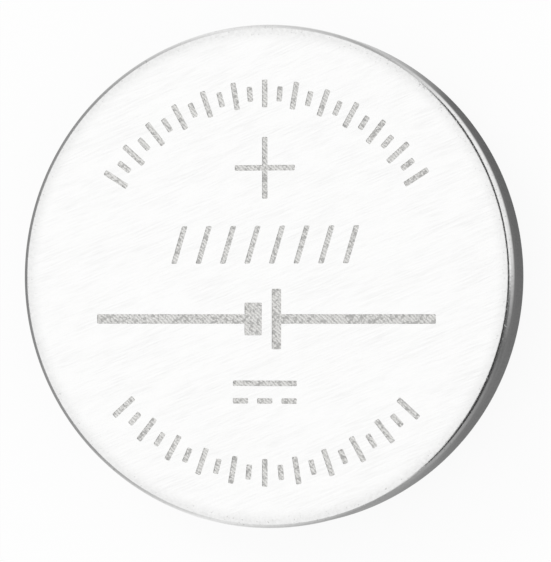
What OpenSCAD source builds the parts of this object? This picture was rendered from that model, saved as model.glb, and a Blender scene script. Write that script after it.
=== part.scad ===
// Lithium coin cell, lying on its negative cap with its positive face up.
// Millimetres. The axis of the cell is Z, and z = 0 is the flat of the negative cap.
// Every piece is a round section turned about that axis, written as its outline
// at a given depth below its outer surface, so that walls and fits stay even.

/* [Cell] */
// Diameter of the cell over the wall of the can
cell_d = 20; // [17:0.1:24]
// Height of the cell, from the flat of the cap to the face of the can
cell_h = 3.2; // [3:0.1:5]
// Gap left all round the gasket where the can and the cap press on it
seal_gap = 0.02; // [0.01:0.01:0.05]

/* [Positive can] */
// Thickness of the can's sheet
can_sheet = 0.25; // [0.2:0.01:0.3]
// Radius of the edge round the can's face, outside
can_edge_r = 0.27; // [0.15:0.01:0.45]
// Radius of the same edge inside the can
can_root_r = 0.08; // [0.05:0.01:0.15]
// Outer radius of the curl that closes the can
curl_r = 0.8; // [0.7:0.05:0.9]
// Length of the flat lip inwards from the curl
lip_l = 0.25; // [0.15:0.05:0.3]

/* [Marks on the can's face] */
// Depth of the marks
mark_depth = 0.03; // [0.02:0.01:0.06]
// Width of a thin stroke
thin_stroke = 0.22; // [0.12:0.02:0.3]
// Width of a bold stroke
bold_stroke = 0.38; // [0.2:0.02:0.5]
// Length of each bar of the plus sign
plus_l = 2.45; // [1.5:0.05:3]
// Distance of the plus sign from the axis
plus_y = 4.3; // [3.8:0.1:4.6]
// Distance from the can's wall in to the middle of the upper arc of ticks
upper_tick_inset = 2.75; // [1.6:0.05:2.9]
// Distance from the can's wall in to the middle of the lower arc of ticks
lower_tick_inset = 2.2; // [1.6:0.05:2.6]
// Length of a long tick
tick_l = 1.1; // [0.6:0.1:1.2]
// Length of a short tick
short_tick_l = 0.6; // [0.3:0.1:0.8]
// Ticks in the upper arc
upper_ticks = 25; // [9:2:33]
// Ticks in the lower arc
lower_ticks = 21; // [9:2:29]
// Angle from one tick to the next
tick_step = 4.8; // [3:0.2:5]
// Slanted bars in the row above the cell symbol
slant_bars = 8; // [3:1:11]
// Distance from one slanted bar to the next
slant_pitch = 1; // [0.8:0.05:1.1]
// Height of the row of slanted bars
slant_h = 1.5; // [0.8:0.1:1.6]
// Sideways lean of each slanted bar from its foot to its head
slant_lean = 0.45; // [0:0.05:0.6]
// Distance of the row of slanted bars from the axis
slant_y = 1.25; // [1.1:0.05:1.6]
// Width of the cell symbol over its leads
symbol_w = 13.8; // [9:0.1:14]
// Height of the cell symbol's long plate
long_plate_h = 2.4; // [1.6:0.1:2.5]
// Height of the cell symbol's short plate
short_plate_h = 1.3; // [0.8:0.1:1.6]
// Thickness of the cell symbol's short plate
short_plate_w = 0.7; // [0.5:0.05:0.9]
// Distance between the middles of the two plates of the cell symbol
plate_gap = 0.95; // [0.8:0.05:1.2]
// Distance of the cell symbol from the axis, downwards
symbol_y = 1.7; // [1.6:0.1:2]
// Width of the direct current symbol
current_w = 2.6; // [1.8:0.1:3.4]
// Distance between the two lines of the direct current symbol
current_gap = 0.7; // [0.5:0.05:1]
// Dashes in the lower line of the direct current symbol
current_dashes = 3; // [2:1:4]
// Length of each of those dashes
dash_l = 0.62; // [0.3:0.02:0.64]
// Distance of the direct current symbol from the axis, downwards
current_y = 4.6; // [4.4:0.1:5]

/* [Negative cap] */
// Thickness of the cap's sheet
cap_sheet = 0.25; // [0.15:0.01:0.28]
// Distance by which the cap's flat stands proud of the can's curl
cap_stand = 0.2; // [0.1:0.02:0.24]
// Outer radius of the edge round the cap's flat
cap_edge_r = 0.35; // [0.3:0.01:0.4]
// Distance from the cap's flat to its flange
flange_z = 0.8; // [0.74:0.02:0.9]
// Outer radius of the bend from the flange to the skirt
flange_edge_r = 0.35; // [0.32:0.01:0.4]
// Radius of the bend from the cap's wall to the flange
cap_root_r = 0.1; // [0.05:0.01:0.15]

/* [Gasket] */
// Width of the gasket's ring that shows between the can's lip and the cap
gasket_ring_w = 0.35; // [0.25:0.01:0.5]
// Wall of the gasket between the cap's skirt and the can
gasket_wall = 0.43; // [0.35:0.01:0.5]
// Thickness of the gasket between the end of the skirt and the can
gasket_base = 0.38; // [0.3:0.01:0.45]
// Wall of the gasket inside the skirt
gasket_leg = 0.4; // [0.3:0.01:0.5]
// Length of the gasket inside the skirt, from the end of the skirt
gasket_leg_h = 0.9; // [0.5:0.1:1.1]
// Distance by which the gasket's face lies in from the can's curl
gasket_sink = 0.1; // [0.05:0.01:0.18]

/* [Cell stack] */
// Gap between the edge of the lithium disc and the cap's wall
anode_gap = 0.55; // [0.3:0.05:1]
// Thickness of the lithium disc
anode_t = 0.6; // [0.3:0.05:0.8]
// Gap between the edge of the separator and the cap's wall
separator_gap = 0.15; // [0.05:0.01:0.25]
// Thickness of the separator
separator_t = 0.15; // [0.05:0.05:0.3]
// Gap between the edge of the cathode pellet and the gasket
pellet_gap = 0.75; // [0.5:0.05:1.2]
// Radius of the pellet's edges
pellet_edge_r = 0.12; // [0.05:0.01:0.2]
// Distance from the edge of the cathode pellet in to the edge of the current collector
collector_inset = 0.7; // [0.3:0.1:2]
// Thickness of the current collector
collector_t = 0.1; // [0.05:0.01:0.15]
// Diameter of the holes in the current collector
collector_hole_d = 0.9; // [0.6:0.05:1.05]
// Distance from one hole to the next in the current collector
collector_pitch = 1.35; // [1.3:0.05:2]
// Plain rim left outside the holes of the current collector
collector_rim = 0.25; // [0.1:0.05:0.5]

/* [Hidden] */
$fn = 180;
past = 1;
can_r = cell_d / 2;
can_inner_r = can_r - can_sheet;
can_floor_z = cell_h - can_sheet;
curl_z = cap_stand + curl_r;
lip_r = can_r - curl_r - lip_l;
cap_r = lip_r - gasket_ring_w;
cap_inner_r = cap_r - cap_sheet;
skirt_r = can_inner_r - gasket_wall;
skirt_inner_r = skirt_r - cap_sheet;
skirt_end_z = can_floor_z - gasket_base;
leg_r = skirt_inner_r - gasket_leg;
leg_end_z = skirt_end_z - gasket_leg_h;
gasket_face_z = cap_stand + gasket_sink;
anode_r = cap_inner_r - anode_gap;
separator_r = cap_inner_r - separator_gap;
pellet_r = leg_r - pellet_gap;
collector_r = pellet_r - collector_inset;
anode_z = cap_sheet;
separator_z = anode_z + anode_t;
pellet_z = separator_z + separator_t;
collector_z = can_floor_z - collector_t;
steel = [0.87, 0.87, 0.86];
gasket_grey = [0.16, 0.16, 0.17];
lithium_grey = [0.7, 0.71, 0.74];
fleece_white = [0.95, 0.95, 0.93];
pellet_black = [0.13, 0.13, 0.14];
mesh_grey = [0.66, 0.66, 0.67];

// Rectangle of a section, from radius r0 to r1 and from height z0 to z1
module band(r0, r1, z0, z1) {
    translate([r0, z0]) square([r1 - r0, z1 - z0]);
}

// Quarter of a round edge of radius r centred on [x, z], towards the corner that side gives as signs
module round_edge(x, z, r, side) {
    translate([x, z]) intersection() {
        circle(r);
        translate([side[0] > 0 ? 0 : -r, side[1] > 0 ? 0 : -r]) square(r);
    }
}

// The can's section filled in, at depth below its outer surface, with an edge of radius edge_r round the face
module can_outline(depth, edge_r) {
    r = can_r - depth;
    top = cell_h - depth;
    band(0, r, curl_z, top - edge_r);
    band(0, r - edge_r, top - edge_r, top);
    round_edge(r - edge_r, top - edge_r, edge_r, [1, 1]);
    band(0, can_r - curl_r, cap_stand + depth, curl_z);
    round_edge(can_r - curl_r, curl_z, curl_r - depth, [1, -1]);
}

// The can's section, grown by extra all over
module can_section(extra = 0) {
    lip_end = can_sheet / 2;
    difference() {
        can_outline(-extra, can_edge_r + extra);
        can_outline(can_sheet + extra, can_root_r);
        band(-past, lip_r + lip_end, -past, curl_z);
    }
    translate([lip_r + lip_end, cap_stand + lip_end]) circle(lip_end + extra);
}

// The cap's section filled in, at depth below its outer surface, from its flat to end_z
module cap_outline(depth, end_z) {
    edge_r = cap_edge_r - depth;
    bend_r = flange_edge_r - depth;
    root = [cap_r + cap_root_r, flange_z - cap_root_r];
    band(0, cap_r - cap_edge_r, depth, cap_edge_r);
    round_edge(cap_r - cap_edge_r, cap_edge_r, edge_r, [1, -1]);
    band(0, cap_r - depth, cap_edge_r, end_z);
    band(0, skirt_r - flange_edge_r, flange_z + depth, end_z);
    round_edge(skirt_r - flange_edge_r, flange_z + flange_edge_r, bend_r, [1, -1]);
    band(0, skirt_r - depth, flange_z + flange_edge_r, end_z);
    difference() {
        band(cap_r - depth, root[0], root[1], flange_z + depth);
        translate(root) circle(cap_root_r + depth);
    }
}

// The cap's section, grown by extra all over
module cap_section(extra = 0) {
    difference() {
        cap_outline(-extra, skirt_end_z + extra);
        cap_outline(cap_sheet + extra, skirt_end_z + past);
    }
}

// The gasket's section: what the can and the cap leave between them, and a leg inside the skirt
module gasket_section() {
    difference() {
        union() {
            intersection() {
                can_outline(can_sheet + seal_gap, can_root_r);
                band(cap_r - cap_sheet / 2, can_r, 0, cell_h);
            }
            band(cap_r - cap_sheet / 2, can_r - curl_r, gasket_face_z, curl_z);
            band(leg_r, skirt_r, leg_end_z, can_floor_z - seal_gap);
        }
        band(0, skirt_r - cap_sheet / 2, flange_z + cap_sheet / 2, leg_end_z);
        band(0, leg_r, leg_end_z, cell_h);
        can_section(seal_gap);
        cap_section(seal_gap);
    }
}

// Bar of the given length and width, centred, turned by angle
module bar(length, width, angle = 0) {
    rotate(angle) square([length, width], center = true);
}

module plus_sign() {
    bar(plus_l, thin_stroke);
    bar(plus_l, thin_stroke, 90);
}

// Arc of long and short ticks about the angle middle
module tick_arc(ticks, radius, middle) {
    last = (ticks - 1) / 2;
    for (i = [-last : last]) {
        length = (i + last) % 2 == 0 ? tick_l : short_tick_l;
        rotate(middle + i * tick_step) translate([radius, 0]) bar(length, thin_stroke);
    }
}

module slanted_bars() {
    last = (slant_bars - 1) / 2;
    for (i = [-last : last]) {
        translate([i * slant_pitch, 0]) polygon([
            [-slant_lean / 2 - thin_stroke / 2, -slant_h / 2],
            [-slant_lean / 2 + thin_stroke / 2, -slant_h / 2],
            [slant_lean / 2 + thin_stroke / 2, slant_h / 2],
            [slant_lean / 2 - thin_stroke / 2, slant_h / 2]
        ]);
    }
}

// Circuit symbol of one cell: a long plate, a short thick plate and two leads
module cell_symbol() {
    lead_l = (symbol_w - plate_gap) / 2;
    for (side = [-1, 1]) {
        translate([side * (plate_gap + lead_l) / 2, 0]) bar(lead_l, bold_stroke);
    }
    translate([plate_gap / 2, 0]) bar(long_plate_h, bold_stroke, 90);
    translate([-plate_gap / 2, 0]) bar(short_plate_h, short_plate_w, 90);
}

// Direct current symbol: a whole line over a dashed one
module current_symbol() {
    last = (current_dashes - 1) / 2;
    dash_pitch = (current_w - dash_l) / (current_dashes - 1);
    translate([0, current_gap / 2]) bar(current_w, thin_stroke);
    for (i = [-last : last]) {
        translate([i * dash_pitch, -current_gap / 2]) bar(dash_l, thin_stroke);
    }
}

module face_marks() {
    translate([0, plus_y]) plus_sign();
    tick_arc(upper_ticks, can_r - upper_tick_inset, 90);
    tick_arc(lower_ticks, can_r - lower_tick_inset, -90);
    translate([0, slant_y]) slanted_bars();
    translate([0, -symbol_y]) cell_symbol();
    translate([0, -current_y]) current_symbol();
}

// Disc of radius r and the given thickness, centred on centre with its underside at z
module disc(r, thickness, z, centre = [0, 0]) {
    translate([centre[0], centre[1], z]) cylinder(h = thickness, r = r);
}

module positive_can() {
    color(steel) difference() {
        rotate_extrude() can_section();
        translate([0, 0, cell_h - mark_depth]) linear_extrude(mark_depth + past) face_marks();
    }
}

module sealing_gasket() {
    color(gasket_grey) rotate_extrude() gasket_section();
}

module negative_cap() {
    color(steel) rotate_extrude() cap_section();
}

module lithium_anode() {
    color(lithium_grey) disc(anode_r, anode_t, anode_z);
}

module separator() {
    color(fleece_white) disc(separator_r, separator_t, separator_z);
}

module cathode_pellet() {
    e = pellet_edge_r;
    color(pellet_black) rotate_extrude() {
        band(0, pellet_r - e, pellet_z, collector_z);
        band(0, pellet_r, pellet_z + e, collector_z - e);
        round_edge(pellet_r - e, pellet_z + e, e, [1, -1]);
        round_edge(pellet_r - e, collector_z - e, e, [1, 1]);
    }
}

module current_collector() {
    row_step = collector_pitch * sin(60);
    hole_r = collector_hole_d / 2;
    reach = collector_r - hole_r - collector_rim;
    bore_h = collector_t + 2 * past;
    rows = floor(reach / row_step);
    columns = ceil(reach / collector_pitch);
    color(mesh_grey) difference() {
        disc(collector_r, collector_t, collector_z);
        for (row = [-rows : rows]) {
            shift = row % 2 == 0 ? 0 : collector_pitch / 2;
            for (column = [-columns : columns]) {
                x = column * collector_pitch + shift;
                y = row * row_step;
                if (norm([x, y]) < reach)
                    disc(hole_r, bore_h, collector_z - past, [x, y], $fn = 24);
            }
        }
    }
}

positive_can();
sealing_gasket();
negative_cap();
lithium_anode();
separator();
cathode_pellet();
current_collector();
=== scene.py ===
"""Lithium coin cell, lying on its cap: the finish of its pieces, and a plain white stage."""

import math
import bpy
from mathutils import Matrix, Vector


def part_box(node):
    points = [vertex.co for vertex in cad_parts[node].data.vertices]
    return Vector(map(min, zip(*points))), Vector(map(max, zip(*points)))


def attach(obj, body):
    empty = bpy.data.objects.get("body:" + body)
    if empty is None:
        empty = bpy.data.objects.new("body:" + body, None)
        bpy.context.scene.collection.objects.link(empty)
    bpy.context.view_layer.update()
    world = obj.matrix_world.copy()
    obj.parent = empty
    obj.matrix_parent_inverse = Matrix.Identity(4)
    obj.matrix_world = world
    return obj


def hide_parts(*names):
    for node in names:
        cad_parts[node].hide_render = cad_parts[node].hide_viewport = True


bl_info = {
    "name": "Coin cell",
    "version": (1, 0, 0),
    "blender": (4, 5, 0),
    "location": "View3D > Sidebar > Coin cell",
    "description": "Models a crimped coin cell around its packed frame and sets it on a white stage",
    "category": "Mesh",
}

import bpy
from mathutils import Matrix, Vector

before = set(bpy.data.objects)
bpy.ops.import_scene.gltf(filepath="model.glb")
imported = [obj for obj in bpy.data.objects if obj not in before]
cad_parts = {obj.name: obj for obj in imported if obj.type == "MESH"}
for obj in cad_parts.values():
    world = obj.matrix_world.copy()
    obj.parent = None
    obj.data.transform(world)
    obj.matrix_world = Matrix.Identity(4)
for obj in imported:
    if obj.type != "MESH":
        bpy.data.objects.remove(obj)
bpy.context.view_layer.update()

MM = 0.001
CAN_LOW, CAN_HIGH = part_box("positive_can")
CAP_LOW, CAP_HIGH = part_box("negative_cap")
GASKET_LOW, GASKET_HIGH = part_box("sealing_gasket")


def length(label, about, default):
    """A length in metres, shown in the panel."""
    return bpy.props.FloatProperty(
        name=label, description=about, default=default, min=0, precision=5, unit="LENGTH"
    )


def turn(label, about, degrees):
    """An angle, shown in the panel."""
    default = math.radians(degrees)
    return bpy.props.FloatProperty(name=label, description=about, default=default, subtype="ANGLE")


def fraction(label, about, default):
    """A share or a grey from 0 to 1, shown in the panel."""
    return bpy.props.FloatProperty(
        name=label, description=about, default=default, min=0, max=1, subtype="FACTOR"
    )


def how_many(label, about, default):
    """A number of like things, shown in the panel."""
    return bpy.props.IntProperty(name=label, description=about, default=default, min=1)


def colour(label, about, default):
    """A colour, shown in the panel."""
    return bpy.props.FloatVectorProperty(
        name=label, description=about, default=default, size=3, min=0, max=1, subtype="COLOR"
    )


class CoinCellSizes(bpy.types.PropertyGroup):
    """Sizes of the cell's pieces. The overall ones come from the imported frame."""

    cell_r: length("Cell radius", "Radius of the can's wall", CAN_HIGH.x)
    cell_h: length("Cell height", "Height of the can's face above the cap's flat", CAN_HIGH.z)
    cap_stand: length("Cap stand", "Distance from the cap's flat up to the can's curl", CAN_LOW.z)
    skirt_r: length("Skirt radius", "Outer radius of the cap's skirt", CAP_HIGH.x)
    skirt_top: length("Skirt top", "Height of the end of the cap's skirt", CAP_HIGH.z)
    gasket_r: length("Gasket radius", "Outer radius of the gasket", GASKET_HIGH.x)
    gasket_face: length("Gasket face", "Height of the gasket's ring that shows", GASKET_LOW.z)
    gasket_top: length("Gasket top", "Height of the gasket's end inside the can", GASKET_HIGH.z)
    can_sheet: length("Can sheet", "Thickness of the can's sheet", 0.25 * MM)
    can_edge: length("Can edge", "Radius of the edge round the face", 0.27 * MM)
    can_root: length("Can root", "Radius of the same edge inside", 0.08 * MM)
    curl: length("Curl", "Outer radius of the curl that closes the can", 0.8 * MM)
    lip: length("Lip", "Length of the flat lip inwards from the curl", 0.25 * MM)
    cap_sheet: length("Cap sheet", "Thickness of the cap's sheet", 0.25 * MM)
    cap_edge: length("Cap edge", "Radius of the edge round the cap's flat", 0.35 * MM)
    cap_root: length("Cap root", "Radius of the bend from the cap's wall to its flange", 0.1 * MM)
    flange_z: length("Flange height", "Distance from the cap's flat to its flange", 0.8 * MM)
    flange_edge: length("Flange edge", "Radius of the bend from the flange to the skirt", 0.35 * MM)
    ring_w: length("Ring width", "Width of the gasket's ring between the lip and the cap", 0.35 * MM)
    seal_gap: length("Seal gap", "Gap round the gasket where the steel presses on it", 0.02 * MM)
    gasket_leg: length("Gasket leg", "Wall of the gasket inside the skirt", 0.4 * MM)
    gasket_leg_h: length("Gasket leg length", "Length of the gasket inside the skirt", 0.9 * MM)


class CoinCellMarks(bpy.types.PropertyGroup):
    """Sizes of the marks in the can's face."""

    depth: length("Depth", "Depth of the marks", 0.03 * MM)
    corner: length("Corner", "Radius of the corners of the strokes", 0.05 * MM)
    thin: length("Thin stroke", "Width of a thin stroke", 0.22 * MM)
    bold: length("Bold stroke", "Width of a bold stroke", 0.38 * MM)
    plus_l: length("Plus", "Length of each bar of the plus sign", 2.45 * MM)
    plus_y: length("Plus place", "Distance of the plus sign from the axis", 4.3 * MM)
    upper_inset: length("Upper ticks", "Distance from the wall to the middle of the upper ticks", 2.75 * MM)
    lower_inset: length("Lower ticks", "Distance from the wall to the middle of the lower ticks", 2.2 * MM)
    long_tick: length("Long tick", "Length of a long tick", 1.1 * MM)
    short_tick: length("Short tick", "Length of a short tick", 0.6 * MM)
    tick_step: turn("Tick step", "Angle from one tick to the next", 4.8)
    upper_ticks: how_many("Upper ticks", "Ticks in the upper arc", 25)
    lower_ticks: how_many("Lower ticks", "Ticks in the lower arc", 21)
    slants: how_many("Slanted bars", "Bars in the slanted row", 8)
    slant_pitch: length("Slant pitch", "Distance from one slanted bar to the next", 1 * MM)
    slant_h: length("Slant height", "Height of the slanted row", 1.5 * MM)
    slant_lean: length("Slant lean", "Sideways lean of a slanted bar", 0.45 * MM)
    slant_y: length("Slant place", "Distance of the slanted row from the axis", 1.25 * MM)
    symbol_w: length("Symbol width", "Width of the cell symbol over its leads", 13.8 * MM)
    long_plate: length("Long plate", "Height of the symbol's long plate", 2.4 * MM)
    short_plate: length("Short plate", "Height of the symbol's short plate", 1.3 * MM)
    short_plate_w: length("Short plate width", "Thickness of the symbol's short plate", 0.7 * MM)
    plate_gap: length("Plate gap", "Distance between the middles of the plates", 0.95 * MM)
    symbol_y: length("Symbol place", "Distance of the cell symbol below the axis", 1.7 * MM)
    current_w: length("Current width", "Width of the direct current symbol", 2.6 * MM)
    current_gap: length("Current gap", "Distance between that symbol's lines", 0.7 * MM)
    dashes: bpy.props.IntProperty(name="Dashes", description="Dashes in its lower line", default=3, min=2)
    dash: length("Dash", "Length of each dash", 0.62 * MM)
    current_y: length("Current place", "Distance of that symbol below the axis", 4.6 * MM)


class CoinCellColours(bpy.types.PropertyGroup):
    """Colours of the cell's finishes."""

    can: colour("Can", "Bright rolled steel of the can", (0.99, 0.99, 0.987))
    mark: colour("Mark", "Etched strokes of the marks", (0.96, 0.955, 0.935))
    cap: colour("Cap", "Satin steel of the cap", (0.82, 0.82, 0.815))
    gasket: colour("Gasket", "Moulded plastic of the gasket", (0.035, 0.036, 0.04))
    lithium: colour("Lithium", "Dull metal of the lithium disc", (0.5, 0.51, 0.54))
    fleece: colour("Fleece", "Non-woven fleece of the separator", (0.86, 0.86, 0.83))
    powder: colour("Powder", "Pressed powder of the cathode", (0.018, 0.018, 0.02))
    mesh: colour("Mesh", "Perforated steel of the collector", (0.6, 0.6, 0.61))


class CoinCellStage(bpy.types.PropertyGroup):
    """Camera and stage."""

    distance: length("Distance", "Distance from the camera to the middle of the face", 150 * MM)
    tilt: turn("Tilt", "Angle of the camera from the cell's axis", 13.3)
    swing: turn("Swing", "Direction of that tilt, from +X towards +Y", -2.6)
    cell_px: bpy.props.FloatProperty(
        name="Cell width", description="Width of the cell's face in the picture, in pixels", default=504.2
    )
    face_x_px: bpy.props.FloatProperty(
        name="Face across", description="Place of the face's middle in the picture, in pixels", default=264.8
    )
    face_y_px: bpy.props.FloatProperty(
        name="Face down", description="Place of the face's middle in the picture, in pixels", default=276.15
    )
    floor_w: length("Floor width", "Width of the floor", 4000 * MM)
    floor_hole: length("Floor hole", "Radius of the hole in the floor, hidden under the cap", 8.3 * MM)
    floor_glow: fraction("Floor glow", "Share of plain white in the floor as it is seen", 0.9)
    world_light: bpy.props.FloatProperty(
        name="World light", description="Strength of the surroundings on matt surfaces", default=0.9, min=0
    )
    lamp: bpy.props.FloatProperty(
        name="Lamp", description="Power of the soft lamp", default=0.5, min=0, unit="POWER"
    )
    lamp_w: length("Lamp width", "Width of the soft lamp", 200 * MM)
    tent_r: length("Tent radius", "Radius of the cards round the cell", 300 * MM)
    tent_hole: length("Tent hole", "Radius of the hole in the card over the floor", 9.25 * MM)
    tent_rise: turn("Tent rise", "Height of the cards as an angle from the floor", 30)
    shade_w: length("Shade width", "Distance in which the shade on the floor fades", 4.5 * MM)
    bar_x: length("Bar place", "Distance from the axis to where the overhead bars meet", 14 * MM)
    bar_z: length("Bar height", "Height of the overhead bars", 200 * MM)
    bar_l: length("Bar length", "Length of the overhead bars", 1200 * MM)
    bar_w: length("Bar width", "Width of the overhead bars", 80 * MM)
    bar_turn: turn("Bar turn", "Angle of each overhead bar from +X", 64.5)
    bar_grey: fraction("Bar grey", "Grey of the overhead bars", 0.03)
    panel_w: length("Panel width", "Width of the dark panel at one side", 290 * MM)
    panel_l: length("Panel length", "Length of the dark panel at one side", 220 * MM)
    panel_turn: turn("Panel turn", "Angle of that panel's edge from +X", -4)
    panel_grey: fraction("Panel grey", "Grey of that panel", 0.12)
    under_x: length("Under distance", "Distance from the axis to the card under the floor", 160 * MM)
    under_turn: turn("Under turn", "Angle of that card's edge from +X", 70)
    under_grey: fraction("Under grey", "Grey of that card", 0.5)


# Greys of the cards round the cell, and of the card over the floor beside the cell,
# which carries a painted shadow of the cell.
# Set while the edge of the cell was compared with the photograph's. Each is
# a direction in degrees from +X towards +Y, and a grey.
FAR_GREYS = (
    (-180, 0.25), (-145, 0.35), (-112, 0.9), (-75, 0.35), (-50, 0.4), (-18, 0.15),
    (12, 0.9), (48, 1.0), (75, 0.4), (108, 0.95), (142, 0.35), (180, 0.25),
)
NEAR_GREYS = (
    (-180, 0.25), (-150, 0.35), (-108, 0.95), (-75, 0.4), (-40, 0.2), (30, 0.14),
    (46, 0.16), (80, 0.9), (115, 0.8), (145, 0.3), (180, 0.25),
)
PICTURE_W_PX = 551
PICTURE_H_PX = 562
SENSOR_MM = 36
TURN_STEPS = 360
RING_STEPS = 128
SMOOTH_UP_TO = math.radians(30)
ARC_STEP = math.radians(7.5)
SUPPORT = 0.04 * MM
PLATE_INSET = 1.2 * MM
MERGE_GAP = 0.0005 * MM
UPRIGHT_GAP = 0.001 * MM
CARD_T = 1 * MM
FLOOR_CARD_Z = 0.01 * MM
PANEL_LIFT = 2 * MM
FLOOR_WHITE = 0.9
LAMP_AT = (-0.3, 0.3, 0.25)
NEAREST_SEEN = 1 * MM
FARTHEST_SEEN = 10


def deselect_all():
    """Leaves edit mode and deselects every object."""
    if bpy.context.object and bpy.context.object.mode != "OBJECT":
        bpy.ops.object.mode_set(mode="OBJECT")
    bpy.ops.object.select_all(action="DESELECT")


def arc(centre, radius, start, end):
    """Points of an arc in a section, as (radius, height), from one angle to another in degrees."""
    steps = max(2, round(abs(math.radians(end - start)) / ARC_STEP))
    angles = [math.radians(start + (end - start) * i / steps) for i in range(steps + 1)]
    return [(centre[0] + radius * math.cos(a), centre[1] + radius * math.sin(a)) for a in angles]


def supported(outline):
    """The outline with a point close to each end of its long straight runs, so that flats shade flat."""
    points = [outline[0]]
    for (r0, z0), (r1, z1) in zip(outline, outline[1:]):
        run = math.hypot(r1 - r0, z1 - z0)
        if run > 3 * SUPPORT:
            share = SUPPORT / run
            points.append((r0 + (r1 - r0) * share, z0 + (z1 - z0) * share))
            points.append((r1 + (r0 - r1) * share, z1 + (z0 - z1) * share))
        points.append((r1, z1))
    return points


def draw_out(outline):
    """Draws the selected ring out along an outline of (radius, height) points, as a lathe would turn it."""
    points = supported(outline)
    for (r0, z0), (r1, z1) in zip(points, points[1:]):
        bpy.ops.mesh.extrude_region_move(TRANSFORM_OT_translate={"value": (0, 0, z1 - z0)})
        if r1 != r0:
            bpy.ops.transform.resize(value=(r1 / r0, r1 / r0, 1), center_override=(0, 0, z1))


def close_up():
    """Merges the doubled vertices of the piece in edit mode, turns its normals outwards, and shades it."""
    bpy.ops.mesh.select_all(action="SELECT")
    bpy.ops.mesh.remove_doubles(threshold=MERGE_GAP)
    bpy.ops.mesh.normals_make_consistent(inside=False)
    bpy.ops.object.mode_set(mode="OBJECT")
    bpy.ops.object.shade_smooth_by_angle(angle=SMOOTH_UP_TO)


def turn_outline(name, outline, closed):
    """Turns a ring along a closed outline, or a shell along one that starts and ends on a flat."""
    deselect_all()
    bpy.ops.mesh.primitive_circle_add(
        vertices=TURN_STEPS, radius=outline[0][0], fill_type="NOTHING" if closed else "NGON"
    )
    piece = bpy.context.object
    piece.name = piece.data.name = name
    bpy.ops.object.mode_set(mode="EDIT")
    bpy.ops.transform.translate(value=(0, 0, outline[0][1]))
    if not closed:
        bpy.ops.mesh.region_to_loop()
    draw_out(outline)
    if not closed:
        bpy.ops.mesh.edge_face_add()
    close_up()
    return piece


def pick(piece, kind, wanted):
    """Selects the vertices, edges or faces of a piece in edit mode that pass the test, and no others."""
    bpy.ops.mesh.select_mode(type={"vertices": "VERT", "edges": "EDGE", "polygons": "FACE"}[kind])
    bpy.ops.mesh.select_all(action="DESELECT")
    bpy.ops.object.mode_set(mode="OBJECT")
    for part in getattr(piece.data, kind):
        part.select = wanted(part)
    bpy.ops.object.mode_set(mode="EDIT")


def show(piece, node, material):
    """Puts a piece in the place of its node, with its finish."""
    piece.data.materials.clear()
    piece.data.materials.append(material)
    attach(piece, "root")
    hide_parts(node)


def can_outline(s):
    """Section of the can, from its face round the curl and the lip to the middle of its inside."""
    top = s.cell_h
    inside_r = s.cell_r - s.can_sheet
    inside_z = top - s.can_sheet
    curl_at = (s.cell_r - s.curl, s.cap_stand + s.curl)
    lip_at = (curl_at[0] - s.lip + s.can_sheet / 2, s.cap_stand + s.can_sheet / 2)
    outline = [(s.cell_r - PLATE_INSET, top)]
    outline += arc((s.cell_r - s.can_edge, top - s.can_edge), s.can_edge, 90, 0)
    outline += arc(curl_at, s.curl, 0, -90)
    outline += arc(lip_at, s.can_sheet / 2, -90, -270)
    outline += arc(curl_at, s.curl - s.can_sheet, -90, 0)
    outline += arc((inside_r - s.can_root, inside_z - s.can_root), s.can_root, 0, 90)
    return outline + [(s.cell_r - PLATE_INSET, inside_z)]


def cap_outline(s):
    """Section of the cap, from the middle of its flat round the skirt to the middle of its inside."""
    wall_r = cap_wall_r(s)
    edge_at = (wall_r - s.cap_edge, s.cap_edge)
    root_at = (wall_r + s.cap_root, s.flange_z - s.cap_root)
    bend_at = (s.skirt_r - s.flange_edge, s.flange_z + s.flange_edge)
    outline = [(wall_r / 2, 0)]
    outline += arc(edge_at, s.cap_edge, -90, 0)
    outline += arc(root_at, s.cap_root, 180, 90)
    outline += arc(bend_at, s.flange_edge, -90, 0)
    outline += [(s.skirt_r, s.skirt_top), (s.skirt_r - s.cap_sheet, s.skirt_top)]
    outline += arc(bend_at, s.flange_edge - s.cap_sheet, 0, -90)
    outline += arc(root_at, s.cap_root + s.cap_sheet, 90, 180)
    outline += arc(edge_at, s.cap_edge - s.cap_sheet, 0, -90)
    return outline + [(wall_r / 2, s.cap_sheet)]


def cap_wall_r(s):
    """Radius of the cap's wall, inside the gasket's ring and the can's lip."""
    return s.cell_r - s.curl - s.lip - s.ring_w


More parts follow.
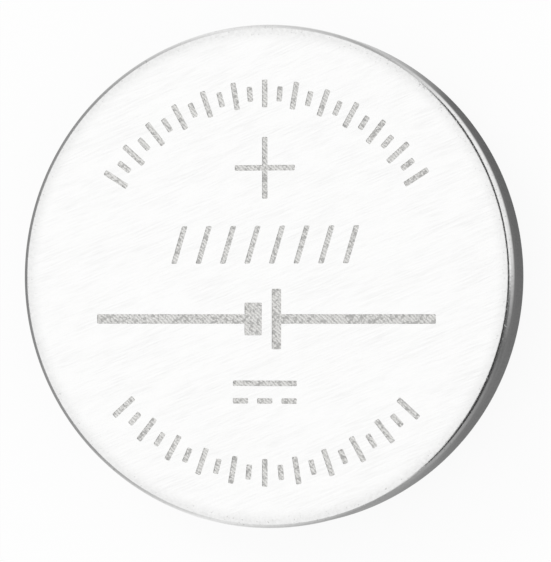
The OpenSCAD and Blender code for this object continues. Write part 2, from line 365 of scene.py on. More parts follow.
def gasket_outline(s):
    """Section of the gasket, which fills the space between the can and the cap but for the seal gap."""
    gap = s.seal_gap
    wall_r = cap_wall_r(s)
    face = s.gasket_face
    curl_at = (s.cell_r - s.curl, s.cap_stand + s.curl)
    lip_at = (curl_at[0] - s.lip + s.can_sheet / 2, s.cap_stand + s.can_sheet / 2)
    lip_r = s.can_sheet / 2 + gap
    lip_start = 180 - math.degrees(math.asin((face - lip_at[1]) / lip_r))
    edge_at = (wall_r - s.cap_edge, s.cap_edge)
    edge_r = s.cap_edge + gap
    edge_end = math.degrees(math.asin((face - edge_at[1]) / edge_r))
    bend_at = (s.skirt_r - s.flange_edge, s.flange_z + s.flange_edge)
    root_at = (wall_r + s.cap_root, s.flange_z - s.cap_root)
    corner_at = (s.gasket_r - s.can_root, s.gasket_top - s.can_root)
    groove_r = s.skirt_r - s.cap_sheet - gap
    leg_r = s.skirt_r - s.cap_sheet - s.gasket_leg
    leg_end = s.skirt_top - s.gasket_leg_h
    outline = arc(lip_at, lip_r, lip_start, 90)
    outline += arc(curl_at, s.curl - s.can_sheet - gap, -90, 0)
    outline += arc(corner_at, s.can_root, 0, 90)
    outline += [(leg_r, s.gasket_top), (leg_r, leg_end), (groove_r, leg_end), (groove_r, s.skirt_top + gap)]
    outline += [(s.skirt_r + gap, s.skirt_top + gap)]
    outline += arc(bend_at, s.flange_edge + gap, 0, -90)
    outline += arc(root_at, s.cap_root - gap, 90, 180)
    outline += arc(edge_at, edge_r, 0, edge_end)
    return outline + [outline[0]]


def mark_bars(s, m):
    """Bars that make up the marks, each as (x, y, length, width, angle)."""
    bars = [(0, m.plus_y, m.plus_l, m.thin, 0), (0, m.plus_y, m.plus_l, m.thin, math.pi / 2)]
    for count, inset, middle in ((m.upper_ticks, m.upper_inset, 90), (m.lower_ticks, m.lower_inset, -90)):
        for i in range(count):
            angle = math.radians(middle) + (i - (count - 1) / 2) * m.tick_step
            reach = s.cell_r - inset
            tick = m.short_tick if i % 2 else m.long_tick
            bars.append((reach * math.cos(angle), reach * math.sin(angle), tick, m.thin, angle))
    for i in range(m.slants):
        bars.append(((i - (m.slants - 1) / 2) * m.slant_pitch, m.slant_y, m.thin, m.slant_h, 0))
    lead = (m.symbol_w - m.plate_gap) / 2
    lead_x = (m.plate_gap + lead) / 2
    bars += [(-lead_x, -m.symbol_y, lead, m.bold, 0), (lead_x, -m.symbol_y, lead, m.bold, 0)]
    bars += [(m.plate_gap / 2, -m.symbol_y, m.bold, m.long_plate, 0)]
    bars += [(-m.plate_gap / 2, -m.symbol_y, m.short_plate_w, m.short_plate, 0)]
    bars += [(0, m.current_gap / 2 - m.current_y, m.current_w, m.thin, 0)]
    pitch = (m.current_w - m.dash) / (m.dashes - 1)
    for i in range(m.dashes):
        x = (i - (m.dashes - 1) / 2) * pitch
        bars.append((x, -m.current_gap / 2 - m.current_y, m.dash, m.thin, 0))
    return bars


def mark_cutter(s, m):
    """Bars with rounded corners that stand in the can's face down to the depth of the marks."""
    deselect_all()
    for i, (x, y, long, wide, angle) in enumerate(mark_bars(s, m)):
        bpy.ops.mesh.primitive_cube_add(
            size=1, location=(x, y, s.cell_h), rotation=(0, 0, angle), scale=(long, wide, 2 * m.depth)
        )
        if i == 0:
            cutter = bpy.context.object
            bpy.ops.object.transform_apply()
            bpy.ops.object.mode_set(mode="EDIT")
    for side in (-1, 1):
        pick(cutter, "vertices", lambda v: in_slants(m, v.co) and side * (v.co.y - m.slant_y) > 0)
        bpy.ops.transform.translate(value=(side * m.slant_lean / 2, 0, 0))
    corners = [v.co.xy for v in cutter.data.vertices]
    pick(cutter, "edges", lambda e: (corners[e.vertices[0]] - corners[e.vertices[1]]).length < UPRIGHT_GAP)
    bpy.ops.mesh.bevel(offset=m.corner, segments=3, affect="EDGES")
    bpy.ops.object.mode_set(mode="OBJECT")
    return cutter


def in_slants(m, at):
    """Whether a point of the cutter belongs to the slanted row."""
    return abs(at.y - m.slant_y) < m.slant_h / 2 + m.depth and abs(at.x) < m.slants * m.slant_pitch / 2


def marked_plate(s, m):
    """Middle of the can's face with its marks, an open sheet, left in edit mode with its border selected."""
    cutter = mark_cutter(s, m)
    deselect_all()
    middle = (0, 0, s.cell_h - s.can_sheet / 2)
    bpy.ops.mesh.primitive_cylinder_add(
        vertices=TURN_STEPS, radius=s.cell_r - PLATE_INSET, depth=s.can_sheet, location=middle
    )
    bpy.ops.object.transform_apply()
    plate = bpy.context.object
    cut = plate.modifiers.new("marks", "BOOLEAN")
    cut.object = cutter
    cut.operation = "DIFFERENCE"
    cut.solver = "EXACT"
    cut.use_self = True
    bpy.ops.object.modifier_apply(modifier=cut.name)
    bpy.data.objects.remove(cutter)
    bpy.ops.object.mode_set(mode="EDIT")
    pick(plate, "polygons", lambda f: f.center.z < s.cell_h - 1.5 * m.depth)
    bpy.ops.mesh.delete(type="FACE")
    bpy.ops.mesh.select_mode(type="EDGE")
    bpy.ops.mesh.select_non_manifold()
    return plate


def can_shell(s, m):
    """The can: its marked plate, drawn out over the edge, down the wall, round the curl and back inside."""
    can = marked_plate(s, m)
    can.name = can.data.name = "can_shell"
    draw_out(can_outline(s))
    bpy.ops.mesh.edge_face_add()
    close_up()
    return can


def add_node(tree, kind, inputs=None, **settings):
    """Adds a node to a tree. Inputs are sockets to link from, or plain values."""
    node = tree.nodes.new(kind)
    for key, value in settings.items():
        setattr(node, key, value)
    for key, value in (inputs or {}).items():
        if isinstance(value, bpy.types.NodeSocket):
            tree.links.new(value, node.inputs[key])
        else:
            node.inputs[key].default_value = value
    return node


def maths(tree, operation, *values):
    """A Math node's output. The values are sockets or numbers."""
    return add_node(tree, "ShaderNodeMath", dict(enumerate(values)), operation=operation).outputs[0]


def mix_colours(tree, share, first, second):
    """Output of a colour mix, where share 0 gives the first colour and 1 the second."""
    node = add_node(tree, "ShaderNodeMix", data_type="RGBA")
    ends = {0: share, 6: (*first, 1) if isinstance(first, tuple) else first}
    ends[7] = (*second, 1) if isinstance(second, tuple) else second
    for key, value in ends.items():
        if isinstance(value, bpy.types.NodeSocket):
            tree.links.new(value, node.inputs[key])
        else:
            node.inputs[key].default_value = value
    return node.outputs[2]


def spread(tree, value, low, high, to_low=0.0, to_high=1.0):
    """A value spread from one range to another, and held within it."""
    ranges = {"Value": value, "From Min": low, "From Max": high, "To Min": to_low, "To Max": to_high}
    return add_node(tree, "ShaderNodeMapRange", ranges).outputs[0]


def noise_value(tree, place, scale, detail):
    """A Noise Texture's output at a place, with its scale and detail."""
    inputs = {"Vector": place, "Scale": scale, "Detail": detail}
    return add_node(tree, "ShaderNodeTexNoise", inputs).outputs[0]


def new_group(name, inputs, output):
    """An empty node group with number inputs after a vector, and one number output."""
    tree = bpy.data.node_groups.new(name, "ShaderNodeTree")
    tree.interface.new_socket("Vector", in_out="INPUT", socket_type="NodeSocketVector")
    for label in inputs:
        tree.interface.new_socket(label, in_out="INPUT", socket_type="NodeSocketFloat")
    tree.interface.new_socket(output, in_out="OUTPUT", socket_type="NodeSocketFloat")
    return tree, tree.nodes.new("NodeGroupInput").outputs, tree.nodes.new("NodeGroupOutput")


def turned(tree, vector, angle):
    """A vector turned about Z by an angle."""
    return add_node(
        tree, "ShaderNodeVectorRotate", {"Vector": vector, "Angle": angle}, rotation_type="Z_AXIS"
    ).outputs[0]


def rolled_grain_group():
    """Long fine streaks that rolling leaves in sheet metal."""
    tree, ask, give = new_group("rolled_grain", ("Angle", "Width", "Stretch"), "Grain")
    along = turned(tree, ask["Vector"], ask["Angle"])
    parts = add_node(tree, "ShaderNodeSeparateXYZ", {0: along}).outputs
    fine = maths(tree, "DIVIDE", 1.0, ask["Width"])
    drawn = maths(tree, "DIVIDE", fine, ask["Stretch"])
    x = maths(tree, "MULTIPLY", parts[0], drawn)
    y = maths(tree, "MULTIPLY", parts[1], fine)
    z = maths(tree, "MULTIPLY", parts[2], fine)
    place = add_node(tree, "ShaderNodeCombineXYZ", {0: x, 1: y, 2: z}).outputs[0]
    tree.links.new(noise_value(tree, place, 1.0, 3.0), give.inputs[0])
    return tree


def hatch_group():
    """Slanted lines of an etching beam, which wander and break a little."""
    tree, ask, give = new_group("slanted_hatch", ("Angle", "Pitch"), "Line")
    across = turned(tree, ask["Vector"], ask["Angle"])
    x = add_node(tree, "ShaderNodeSeparateXYZ", {0: across}).outputs[0]
    fine = maths(tree, "DIVIDE", 0.7, ask["Pitch"])
    wander = noise_value(tree, ask["Vector"], fine, 2.0)
    turns = maths(tree, "DIVIDE", x, ask["Pitch"])
    turns = maths(tree, "ADD", turns, wander)
    wave = maths(tree, "SINE", maths(tree, "MULTIPLY", turns, math.tau))
    grains = maths(tree, "DIVIDE", 2.2, ask["Pitch"])
    broken = noise_value(tree, ask["Vector"], grains, 1.0)
    line = maths(tree, "ADD", maths(tree, "MULTIPLY", wave, 0.3), maths(tree, "MULTIPLY", broken, 1.5))
    tree.links.new(spread(tree, line, 0.3, 1.2), give.inputs[0])
    return tree


def specks_group():
    """Small scattered pits and nicks."""
    tree, ask, give = new_group("specks", ("Size", "Amount"), "Speck")
    fine = maths(tree, "DIVIDE", 1.0, ask["Size"])
    patches = noise_value(tree, ask["Vector"], fine, 4.0)
    low = maths(tree, "SUBTRACT", 0.72, maths(tree, "MULTIPLY", ask["Amount"], 0.25))
    tree.links.new(spread(tree, patches, low, maths(tree, "ADD", low, 0.05)), give.inputs[0])
    return tree


GROUP_MAKERS = {"rolled_grain": rolled_grain_group, "slanted_hatch": hatch_group, "specks": specks_group}


def group_value(tree, name, place, **values):
    """Output of one of the shared effects, placed in a material. The group is made once."""
    group = bpy.data.node_groups.get(name) or GROUP_MAKERS[name]()
    node = add_node(tree, "ShaderNodeGroup", node_tree=group)
    tree.links.new(place, node.inputs["Vector"])
    for label, value in values.items():
        node.inputs[label].default_value = value
    return node.outputs[0]


def new_material(name, metallic=0.0, roughness=0.5):
    """A material with a Principled shader. Returns it with its tree, shader and object coordinates."""
    material = bpy.data.materials.new(name)
    material.use_nodes = True
    tree = material.node_tree
    shader = tree.nodes["Principled BSDF"]
    shader.inputs["Metallic"].default_value = metallic
    shader.inputs["Roughness"].default_value = roughness
    place = tree.nodes.new("ShaderNodeTexCoord").outputs["Object"]
    return material, tree, shader, place


def bump(tree, shader, height, distance):
    """Bump on a shader from a height of 0 to 1 and a real depth."""
    node = add_node(tree, "ShaderNodeBump", {"Height": height, "Distance": distance, "Strength": 1.0})
    tree.links.new(node.outputs[0], shader.inputs["Normal"])


def darker(colour_value, share):
    """A colour at a share of its strength."""
    return tuple(channel * share for channel in colour_value)


def can_steel(s, m, c):
    """Bright rolled sheet with faint streaks and specks, nicks round its edge, etched marks and painted
    shade.
    """
    material, tree, shader, place = new_material("can_steel", metallic=1.0)
    x, y, z = add_node(tree, "ShaderNodeSeparateXYZ", {0: place}).outputs
    flat_place = add_node(tree, "ShaderNodeCombineXYZ", {0: x, 1: y}).outputs[0]
    radius = add_node(tree, "ShaderNodeVectorMath", {0: flat_place}, operation="LENGTH").outputs["Value"]
    on_face = maths(tree, "LESS_THAN", radius, s.cell_r - s.can_edge)
    sunk = maths(tree, "LESS_THAN", z, s.cell_h - m.depth / 2)
    outside = maths(tree, "GREATER_THAN", z, s.cell_h - 2 * m.depth)
    mark = maths(tree, "MULTIPLY", maths(tree, "MULTIPLY", on_face, sunk), outside)
    grain = group_value(tree, "rolled_grain", place, Angle=math.radians(-22), Width=0.06 * MM, Stretch=16.0)
    smudge = group_value(tree, "rolled_grain", place, Angle=math.radians(-22), Width=0.5 * MM, Stretch=2.5)
    mottle = group_value(tree, "rolled_grain", place, Angle=0.0, Width=0.13 * MM, Stretch=1.0)
    speck = group_value(tree, "specks", place, Size=0.09 * MM, Amount=0.25)
    rim = maths(tree, "POWER", spread(tree, radius, s.cell_r - 0.75 * MM, s.cell_r - s.can_edge), 1.7)
    speck = maths(tree, "MULTIPLY", speck, maths(tree, "MAXIMUM", rim, 0.1))
    around = maths(tree, "MULTIPLY", maths(tree, "ARCTAN2", y, x), s.cell_r)
    unrolled = add_node(tree, "ShaderNodeCombineXYZ", {0: around, 1: z}).outputs[0]
    scuff = group_value(tree, "rolled_grain", unrolled, Angle=0.0, Width=0.1 * MM, Stretch=8.0)
    drawn = group_value(tree, "rolled_grain", unrolled, Angle=math.radians(88), Width=0.11 * MM, Stretch=12.0)
    nick = group_value(tree, "specks", unrolled, Size=0.16 * MM, Amount=0.2)
    wall = maths(tree, "SUBTRACT", 1.0, on_face)
    side = spread(tree, z, s.cell_h - 3 * s.can_edge, s.cell_h - s.can_edge, 1.0, 0.0)
    scuff = maths(tree, "ADD", maths(tree, "MULTIPLY", scuff, 0.35), maths(tree, "MULTIPLY", drawn, 0.65))
    scuff = maths(tree, "MULTIPLY", scuff, side)
    nick = maths(tree, "MULTIPLY", nick, wall)
    hatch = group_value(tree, "slanted_hatch", place, Angle=math.radians(-48), Pitch=0.12 * MM)
    can = tuple(c.can)
    tone = maths(tree, "MULTIPLY", spread(tree, grain, 0.35, 0.65), spread(tree, smudge, 0.3, 0.7))
    face = mix_colours(tree, tone, can, darker(can, 0.94))
    # Painted shade: below the rounded edge, the wall, curl and lip are painted darker than the face, though
    # they are the same steel.
    face = mix_colours(tree, side, face, darker(can, 0.86))
    # Painted shade: the face is painted darker towards its rim, patchy with the mottle, for the dimmer
    # reflection near the rounded edge.
    rim_shade = maths(tree, "MULTIPLY", rim, spread(tree, mottle, 0.3, 0.65, 0.5, 1.0))
    face = mix_colours(tree, rim_shade, face, darker(can, 0.84))
    face = mix_colours(tree, maths(tree, "MULTIPLY", speck, 0.5), face, darker(can, 0.5))
    face = mix_colours(tree, spread(tree, scuff, 0.35, 0.7), face, darker(can, 0.68))
    face = mix_colours(tree, maths(tree, "MULTIPLY", nick, 0.5), face, darker(can, 0.4))
    etched = mix_colours(tree, hatch, tuple(c.mark), darker(tuple(c.mark), 0.64))
    pits = group_value(tree, "specks", place, Size=0.14 * MM, Amount=0.75)
    etched = mix_colours(tree, maths(tree, "MULTIPLY", pits, 0.6), etched, darker(tuple(c.mark), 0.4))
    tree.links.new(mix_colours(tree, mark, face, etched), shader.inputs["Base Color"])
    rough = maths(tree, "ADD", 0.13, maths(tree, "MULTIPLY", grain, 0.08))
    rough = maths(tree, "ADD", rough, maths(tree, "MULTIPLY", mark, 0.3))
    tree.links.new(rough, shader.inputs["Roughness"])
    plain = maths(tree, "ADD", maths(tree, "MULTIPLY", grain, 0.04), maths(tree, "MULTIPLY", speck, -0.7))
    plain = maths(tree, "ADD", plain, maths(tree, "MULTIPLY", maths(tree, "MULTIPLY", mottle, rim), 0.6))
    plain = maths(tree, "ADD", plain, maths(tree, "MULTIPLY", scuff, 0.7))
    plain = maths(tree, "SUBTRACT", plain, nick)
    depth = maths(tree, "ADD", plain, maths(tree, "MULTIPLY", maths(tree, "MULTIPLY", hatch, mark), -1.0))
    bump(tree, shader, depth, 0.004 * MM)
    return material


def cap_steel(c):
    """Satin rolled sheet with streaks one way and a few specks."""
    material, tree, shader, place = new_material("cap_steel", metallic=1.0)
    grain = group_value(tree, "rolled_grain", place, Angle=math.radians(35), Width=0.06 * MM, Stretch=40.0)
    smudge = group_value(tree, "rolled_grain", place, Angle=math.radians(35), Width=1.2 * MM, Stretch=1.5)
    speck = group_value(tree, "specks", place, Size=0.12 * MM, Amount=0.2)
    cap = tuple(c.cap)
    face = mix_colours(tree, spread(tree, grain, 0.3, 0.7), cap, darker(cap, 0.9))
    face = mix_colours(tree, maths(tree, "MULTIPLY", speck, 0.4), face, darker(cap, 0.55))
    tree.links.new(face, shader.inputs["Base Color"])
    rough = maths(tree, "ADD", 0.26, maths(tree, "MULTIPLY", smudge, 0.12))
    tree.links.new(rough, shader.inputs["Roughness"])
    bump(tree, shader, maths(tree, "SUBTRACT", grain, maths(tree, "MULTIPLY", speck, 0.6)), 0.001 * MM)
    return material


def gasket_plastic(c):
    """Smooth moulded plastic, with a faint mould texture."""
    material, tree, shader, place = new_material("gasket_plastic", roughness=0.42)
    mottle = group_value(tree, "rolled_grain", place, Angle=0.0, Width=0.05 * MM, Stretch=1.0)
    tone = mix_colours(tree, spread(tree, mottle, 0.3, 0.7), tuple(c.gasket), darker(tuple(c.gasket), 1.6))
    tree.links.new(tone, shader.inputs["Base Color"])
    bump(tree, shader, mottle, 0.002 * MM)
    return material


def lithium_metal(c):
    """Soft rolled metal with a dull, blotched bloom."""
    material, tree, shader, place = new_material("lithium_metal", metallic=0.9)
    grain = group_value(tree, "rolled_grain", place, Angle=0.0, Width=0.15 * MM, Stretch=12.0)
    bloom = group_value(tree, "rolled_grain", place, Angle=0.0, Width=1.5 * MM, Stretch=1.3)
    lithium = tuple(c.lithium)
    tone = mix_colours(tree, spread(tree, bloom, 0.35, 0.65), lithium, darker(lithium, 0.7))
    tree.links.new(tone, shader.inputs["Base Color"])
    tree.links.new(maths(tree, "ADD", 0.4, maths(tree, "MULTIPLY", bloom, 0.3)), shader.inputs["Roughness"])
    bump(tree, shader, grain, 0.006 * MM)
    return material


def separator_fleece(c):
    """Thin non-woven fleece: crossing fibres at two angles."""
    material, tree, shader, place = new_material("separator_fleece", roughness=0.9)
    one_way = group_value(tree, "rolled_grain", place, Angle=math.radians(28), Width=0.05 * MM, Stretch=14.0)
    slant = math.radians(-41)
    other_way = group_value(tree, "rolled_grain", place, Angle=slant, Width=0.05 * MM, Stretch=14.0)
    fibres = maths(tree, "MAXIMUM", one_way, other_way)
    fleece = tuple(c.fleece)
    tone = mix_colours(tree, spread(tree, fibres, 0.4, 0.75), darker(fleece, 0.85), fleece)
    tree.links.new(tone, shader.inputs["Base Color"])
    bump(tree, shader, fibres, 0.02 * MM)
    return material


def cathode_powder(c):
    """Matt pressed powder with fine grains."""
    material, tree, shader, place = new_material("cathode_powder", roughness=0.85)
    grains = group_value(tree, "specks", place, Size=0.06 * MM, Amount=0.8)
    mottle = group_value(tree, "rolled_grain", place, Angle=0.0, Width=0.4 * MM, Stretch=1.0)
    powder = tuple(c.powder)
    tone = mix_colours(tree, spread(tree, mottle, 0.3, 0.7), powder, darker(powder, 1.8))
    tone = mix_colours(tree, maths(tree, "MULTIPLY", grains, 0.5), tone, darker(powder, 4.0))
    tree.links.new(tone, shader.inputs["Base Color"])
    bump(tree, shader, maths(tree, "ADD", grains, mottle), 0.01 * MM)
    return material


def collector_mesh(c):
    """Thin perforated steel, brushed one way."""
    material, tree, shader, place = new_material("collector_mesh", metallic=1.0)
    grain = group_value(tree, "rolled_grain", place, Angle=0.0, Width=0.05 * MM, Stretch=20.0)
    tone = mix_colours(tree, grain, tuple(c.mesh), darker(tuple(c.mesh), 0.8))
    tree.links.new(tone, shader.inputs["Base Color"])
    tree.links.new(maths(tree, "ADD", 0.25, maths(tree, "MULTIPLY", grain, 0.2)), shader.inputs["Roughness"])
    bump(tree, shader, grain, 0.001 * MM)
    return material


def bare_material(name):
    """A material with no shader yet. Returns it with its tree and the input of its surface."""
    material = bpy.data.materials.new(name)
    material.use_nodes = True
    material.cycles.emission_sampling = "NONE"
    material.node_tree.nodes.clear()
    return material, material.node_tree, material.node_tree.nodes.new("ShaderNodeOutputMaterial").inputs[0]


def floor_paint(t):
    """White floor that keeps a soft shadow, and is clear when it is looked at from below."""
    material, tree, surface = bare_material("floor_paint")
    path = tree.nodes.new("ShaderNodeLightPath").outputs
    seen = maths(tree, "MAXIMUM", path["Is Camera Ray"], path["Is Glossy Ray"])
    seen = maths(tree, "MAXIMUM", seen, path["Is Transmission Ray"])
    paint = add_node(tree, "ShaderNodeBsdfDiffuse", {"Color": (*3 * (FLOOR_WHITE,), 1)}).outputs[0]
    glow = add_node(tree, "ShaderNodeEmission", {"Strength": 1.0}).outputs[0]
    share = maths(tree, "MULTIPLY", seen, t.floor_glow)
    lit = add_node(tree, "ShaderNodeMixShader", {0: share, 1: paint, 2: glow}).outputs[0]
    clear = tree.nodes.new("ShaderNodeBsdfTransparent").outputs[0]
    below = tree.nodes.new("ShaderNodeNewGeometry").outputs["Backfacing"]
    tree.links.new(add_node(tree, "ShaderNodeMixShader", {0: below, 1: lit, 2: clear}).outputs[0], surface)
    return material


def round_greys(tree, name, greys):
    """A grey that depends on the direction from the axis, from pairs of a direction and a grey."""
    place = tree.nodes.new("ShaderNodeTexCoord").outputs["Object"]
    x, y, _ = add_node(tree, "ShaderNodeSeparateXYZ", {0: place}).outputs
    around = maths(tree, "ARCTAN2", y, x)
    ramp = add_node(tree, "ShaderNodeValToRGB", {0: spread(tree, around, -math.pi, math.pi)}, label=name)
    stops = ramp.color_ramp.elements
    while len(stops) < len(greys):
        stops.new(1.0)
    for stop, (degrees, grey) in zip(stops, greys):
        stop.position = (degrees + 180) / 360
        stop.color = (grey, grey, grey, 1)
    return ramp.outputs[0]


def tent_paint():
    """Greys of the cards round the cell, which the polished edge mirrors."""
    material, tree, surface = bare_material("tent_paint")
    far = round_greys(tree, "far", FAR_GREYS)
    tree.links.new(add_node(tree, "ShaderNodeEmission", {"Color": far}).outputs[0], surface)
    return material


def shade_paint(s, t):
    """Greys of the card over the floor that the wall mirrors: a painted shadow, dark by the cell, paler
    outwards.
    """
    material, tree, surface = bare_material("shade_paint")
    place = tree.nodes.new("ShaderNodeTexCoord").outputs["Object"]
    radius = add_node(tree, "ShaderNodeVectorMath", {0: place}, operation="LENGTH").outputs["Value"]
    steps = maths(tree, "DIVIDE", maths(tree, "SUBTRACT", s.cell_r + t.shade_w / 5, radius), t.shade_w)
    fade = maths(tree, "MINIMUM", maths(tree, "EXPONENT", steps), 1.0)
    far, near = round_greys(tree, "far", FAR_GREYS), round_greys(tree, "near", NEAR_GREYS)
    grey = mix_colours(tree, fade, far, near)
    tree.links.new(add_node(tree, "ShaderNodeEmission", {"Color": grey}).outputs[0], surface)
    return material


def dark_cloth(name, grey):
    """Evenly grey cloth."""
    material, tree, surface = bare_material(name)
    tree.links.new(add_node(tree, "ShaderNodeEmission", {"Strength": grey}).outputs[0], surface)
    return material


def level_board(name, corner, angle, size, side, material):
    """Level board from a corner along an angle, which widens to the left (1) or the right (-1)."""
    along = Vector((math.cos(angle), math.sin(angle), 0))
    middle = Vector(corner) + along * size[0] / 2 + Vector((-along.y, along.x, 0)) * side * size[1] / 2
    deselect_all()
    bpy.ops.mesh.primitive_cube_add(size=1, location=middle, rotation=(0, 0, angle), scale=(*size, CARD_T))
    board = bpy.context.object
    board.name = board.data.name = name
    board.data.materials.append(material)
    only_in_reflections(board)


def level_ring(name, inner, outer, z, material):
    """Level flat ring round the axis."""
    deselect_all()
    bpy.ops.mesh.primitive_circle_add(
        vertices=RING_STEPS, radius=inner, fill_type="NOTHING", location=(0, 0, z)
    )
    ring = bpy.context.object
    ring.name = ring.data.name = name
    bpy.ops.object.mode_set(mode="EDIT")
    bpy.ops.mesh.extrude_region_move()
    bpy.ops.transform.resize(value=(outer / inner, outer / inner, 1), center_override=(0, 0, z))
    bpy.ops.object.mode_set(mode="OBJECT")
    if ring.data.polygons[0].normal.z < 0:
        ring.data.flip_normals()
    ring.data.materials.append(material)
    return ring


def only_in_reflections(thing):
    """Shows a stage piece to reflections alone, so that it blocks no light and the camera misses it."""
    thing.visible_camera = False
    thing.visible_diffuse = False
    thing.visible_shadow = False
    thing.visible_transmission = False


def tent(s, t):
    """The grey cards that the steel mirrors: over the floor, round the cell, below it and overhead."""
    only_in_reflections(level_ring("tent_floor", t.tent_hole, t.tent_r, FLOOR_CARD_Z, shade_paint(s, t)))
    deselect_all()
    high = t.tent_r * math.tan(t.tent_rise)
    bpy.ops.mesh.primitive_cylinder_add(
        vertices=RING_STEPS, radius=t.tent_r, depth=2 * high, end_fill_type="NOTHING"
    )
    wall = bpy.context.object
    wall.name = wall.data.name = "tent_wall"
    wall.data.materials.append(tent_paint())
    only_in_reflections(wall)
    cloth = dark_cloth("under_cloth", t.under_grey)
    corner = (-t.under_x, -t.tent_r, -t.bar_z)
    level_board("tent_under", corner, t.under_turn, (4 * t.tent_r, t.tent_r), -1, cloth)
    cloth = dark_cloth("bar_cloth", t.bar_grey)
    corner = (t.bar_x, 0, t.bar_z)
    level_board("tent_bar_up", corner, t.bar_turn, (t.bar_l, t.bar_w), -1, cloth)
    level_board("tent_bar_down", corner, -t.bar_turn, (t.bar_l, t.bar_w), 1, cloth)
    cloth = dark_cloth("panel_cloth", t.panel_grey)
    corner = (t.bar_x + t.bar_w, 0, t.bar_z + PANEL_LIFT)
    level_board("tent_panel", corner, t.panel_turn, (t.panel_w, t.panel_l), -1, cloth)


def white_world(t):
    """Plain white surroundings."""
    world = bpy.data.worlds.new("white_room")
    world.use_nodes = True
    world.cycles.sampling_method = "NONE"
    bpy.context.scene.world = world
    tree = world.node_tree
    path = tree.nodes.new("ShaderNodeLightPath").outputs
    seen = maths(tree, "MAXIMUM", path["Is Camera Ray"], path["Is Glossy Ray"])
    seen = maths(tree, "MAXIMUM", seen, path["Is Transmission Ray"])
    back = tree.nodes["Background"]
    back.inputs["Color"].default_value = (1, 1, 1, 1)
    tree.links.new(spread(tree, seen, 0.0, 1.0, t.world_light, 1.0), back.inputs["Strength"])


def soft_lamp(name, place, aim, width, power):
    """Square soft lamp at a place, aimed at a point."""
    light = bpy.data.lights.new(name, "AREA")
    light.size = width
    light.energy = power
    lamp = bpy.data.objects.new(name, light)
    lamp.location = place
    lamp.visible_glossy = False
    lamp.rotation_euler = (Vector(aim) - Vector(place)).to_track_quat("-Z", "Y").to_euler()
    bpy.context.scene.collection.objects.link(lamp)


def place_camera(s, t):
    """Camera at the photograph's angle, distance and framing."""
    aim = Vector((0, 0, s.cell_h))
    lean = math.sin(t.tilt)
    out = Vector((lean * math.cos(t.swing), lean * math.sin(t.swing), math.cos(t.tilt)))
    across = Vector((0, 1, 0)).cross(out).normalized()
    lens = bpy.data.cameras.new("camera")
    camera = bpy.data.objects.new("camera", lens)
    axes = Matrix((across, out.cross(across), out)).transposed().to_4x4()
    camera.matrix_world = Matrix.Translation(aim + out * t.distance) @ axes
    bpy.context.scene.collection.objects.link(camera)
    bpy.context.scene.camera = camera
    long_side = max(PICTURE_W_PX, PICTURE_H_PX)
    lens.sensor_width = SENSOR_MM
    lens.lens = SENSOR_MM * t.cell_px / long_side * t.distance / (2 * s.cell_r)
    lens.shift_x = (PICTURE_W_PX / 2 - t.face_x_px) / long_side
    lens.shift_y = (t.face_y_px - PICTURE_H_PX / 2) / long_side
    lens.clip_start = NEAREST_SEEN
    lens.clip_end = FARTHEST_SEEN


class COINCELL_OT_can(bpy.types.Operator):
    """Models the positive can, with its curl, its lip and the marks in its face"""

    bl_idname = "coincell.can"
    bl_label = "Positive can"

    def execute(self, context):
        scene = context.scene
        s, m, c = scene.coin_cell_sizes, scene.coin_cell_marks, scene.coin_cell_colours
        can = can_shell(s, m)
        show(can, "positive_can", can_steel(s, m, c))
        return {"FINISHED"}


class COINCELL_OT_cap(bpy.types.Operator):
    """Models the negative cap, with its flange and skirt"""

    bl_idname = "coincell.cap"
    bl_label = "Negative cap"

    def execute(self, context):
        s, c = context.scene.coin_cell_sizes, context.scene.coin_cell_colours
        cap = turn_outline("cap_shell", cap_outline(s), closed=False)
        show(cap, "negative_cap", cap_steel(c))
        return {"FINISHED"}


class COINCELL_OT_gasket(bpy.types.Operator):
    """Models the gasket between the can and the cap"""

    bl_idname = "coincell.gasket"
    bl_label = "Gasket"

    def execute(self, context):
        s, c = context.scene.coin_cell_sizes, context.scene.coin_cell_colours
        gasket = turn_outline("gasket_ring", gasket_outline(s), closed=True)
        show(gasket, "sealing_gasket", gasket_plastic(c))
        return {"FINISHED"}


class COINCELL_OT_stack(bpy.types.Operator):
    """Finishes the pieces inside the cell, which keep the shapes of the frame"""

    bl_idname = "coincell.stack"
    bl_label = "Cell stack"

    def execute(self, context):
        c = context.scene.coin_cell_colours
        finishes = {
            "lithium_anode": lithium_metal(c),
            "separator": separator_fleece(c),
            "cathode_pellet": cathode_powder(c),
            "current_collector": collector_mesh(c),
        }
        for node, material in finishes.items():
            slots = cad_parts[node].data.materials
            slots.clear()
            slots.append(material)
        return {"FINISHED"}


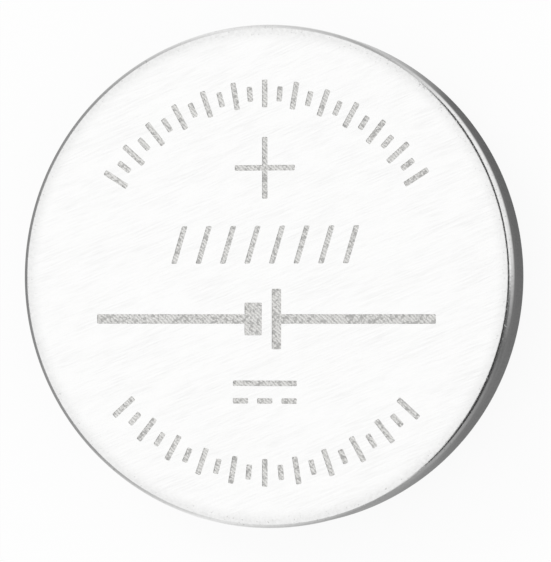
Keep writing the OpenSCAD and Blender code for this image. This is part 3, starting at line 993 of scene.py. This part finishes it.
class COINCELL_OT_stage(bpy.types.Operator):
    """Sets up the floor, the reflection cards, the lamp, the world and the camera"""

    bl_idname = "coincell.stage"
    bl_label = "Stage"

    def execute(self, context):
        s, t = context.scene.coin_cell_sizes, context.scene.coin_cell_stage
        level_ring("floor", t.floor_hole, t.floor_w / 2, 0, floor_paint(t))
        tent(s, t)
        white_world(t)
        soft_lamp("key_lamp", LAMP_AT, (0, 0, 0), t.lamp_w, t.lamp)
        place_camera(s, t)
        context.scene.view_settings.view_transform = "Standard"
        return {"FINISHED"}


class COINCELL_PT_panel(bpy.types.Panel):
    """Lists the steps and the sizes"""

    bl_idname = "COINCELL_PT_panel"
    bl_label = "Coin cell"
    bl_space_type = "VIEW_3D"
    bl_region_type = "UI"
    bl_category = "Coin cell"

    def draw(self, context):
        for operator in OPERATORS:
            self.layout.operator(operator.bl_idname)
        for key in PROPERTY_GROUPS:
            group = getattr(context.scene, key)
            box = self.layout.box()
            for name in group.__annotations__:
                box.prop(group, name)


PROPERTY_GROUPS = {
    "coin_cell_sizes": CoinCellSizes,
    "coin_cell_marks": CoinCellMarks,
    "coin_cell_colours": CoinCellColours,
    "coin_cell_stage": CoinCellStage,
}
OPERATORS = (COINCELL_OT_can, COINCELL_OT_cap, COINCELL_OT_gasket, COINCELL_OT_stack, COINCELL_OT_stage)


def register():
    """Registers the classes and hangs their properties on the scene."""
    for key, group in PROPERTY_GROUPS.items():
        bpy.utils.register_class(group)
        setattr(bpy.types.Scene, key, bpy.props.PointerProperty(type=group))
    for operator in OPERATORS:
        bpy.utils.register_class(operator)
    bpy.utils.register_class(COINCELL_PT_panel)


def unregister():
    """Undoes register."""
    bpy.utils.unregister_class(COINCELL_PT_panel)
    for operator in reversed(OPERATORS):
        bpy.utils.unregister_class(operator)
    for key, group in PROPERTY_GROUPS.items():
        delattr(bpy.types.Scene, key)
        bpy.utils.unregister_class(group)


def main():
    """Makes the whole cell and its stage."""
    register()
    bpy.ops.coincell.can()
    bpy.ops.coincell.cap()
    bpy.ops.coincell.gasket()
    bpy.ops.coincell.stack()
    bpy.ops.coincell.stage()
    deselect_all()


if __name__ == "__main__":
    main()
